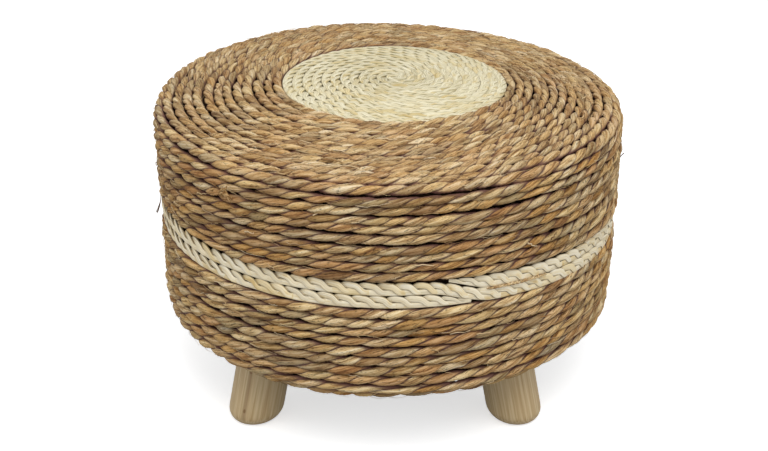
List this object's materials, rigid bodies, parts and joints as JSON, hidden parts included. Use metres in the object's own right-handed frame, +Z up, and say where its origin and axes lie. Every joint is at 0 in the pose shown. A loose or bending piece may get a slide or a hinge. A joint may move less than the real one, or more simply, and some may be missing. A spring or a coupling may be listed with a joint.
{
  "type": "round pouf stool",
  "caption": "Low round stool: a padded drum wound from seat to base with twisted grass rope, with a pale plaited disc and band, on short splayed wooden legs.",
  "frame": {"origin": "on the floor, under the middle of the stool", "axes": "+Z up along the drum's axis; -Y towards the front, where the pale band has its seam"},
  "size_m": [0.4488, 0.4442, 0.3032],
  "materials": {
    "rope": "matt twisted grass",
    "plait": "matt plaited palm leaf",
    "leg_wood": "bare sanded",
    "plywood": "raw",
    "batten": "sawn",
    "hardboard": "raw",
    "foam": "open-cell foam",
    "cover_cloth": "non-woven cloth",
    "steel": "zinc plated"
  },
  "bodies": {
    "root": {"base_board": "plywood", "seat_board": "plywood", "side_hoop": "hardboard", "side_foam_wrap": "foam", "seat_foam": "foam", "dust_cover": "cover_cloth", "seat_disc_plait": "plait", "upper_rope": "rope", "side_band_plait": "plait", "lower_rope": "rope", "frame_post_1": "batten", "frame_post_2": "batten", "frame_post_3": "batten", "frame_post_4": "batten", "frame_post_5": "batten", "frame_post_6": "batten", "base_screw_1": "steel", "base_screw_2": "steel", "base_screw_3": "steel", "base_screw_4": "steel", "base_screw_5": "steel", "base_screw_6": "steel", "seat_screw_1": "steel", "seat_screw_2": "steel", "seat_screw_3": "steel", "seat_screw_4": "steel", "seat_screw_5": "steel", "seat_screw_6": "steel", "leg_front_right": "leg_wood", "leg_back_right": "leg_wood", "leg_back_left": "leg_wood", "leg_front_left": "leg_wood", "leg_screw_front_right": "steel", "leg_screw_back_right": "steel", "leg_screw_back_left": "steel", "leg_screw_front_left": "steel", "leg_washer_front_right": "steel", "leg_washer_back_right": "steel", "leg_washer_back_left": "steel", "leg_washer_front_left": "steel"}
  },
  "joints": []
}
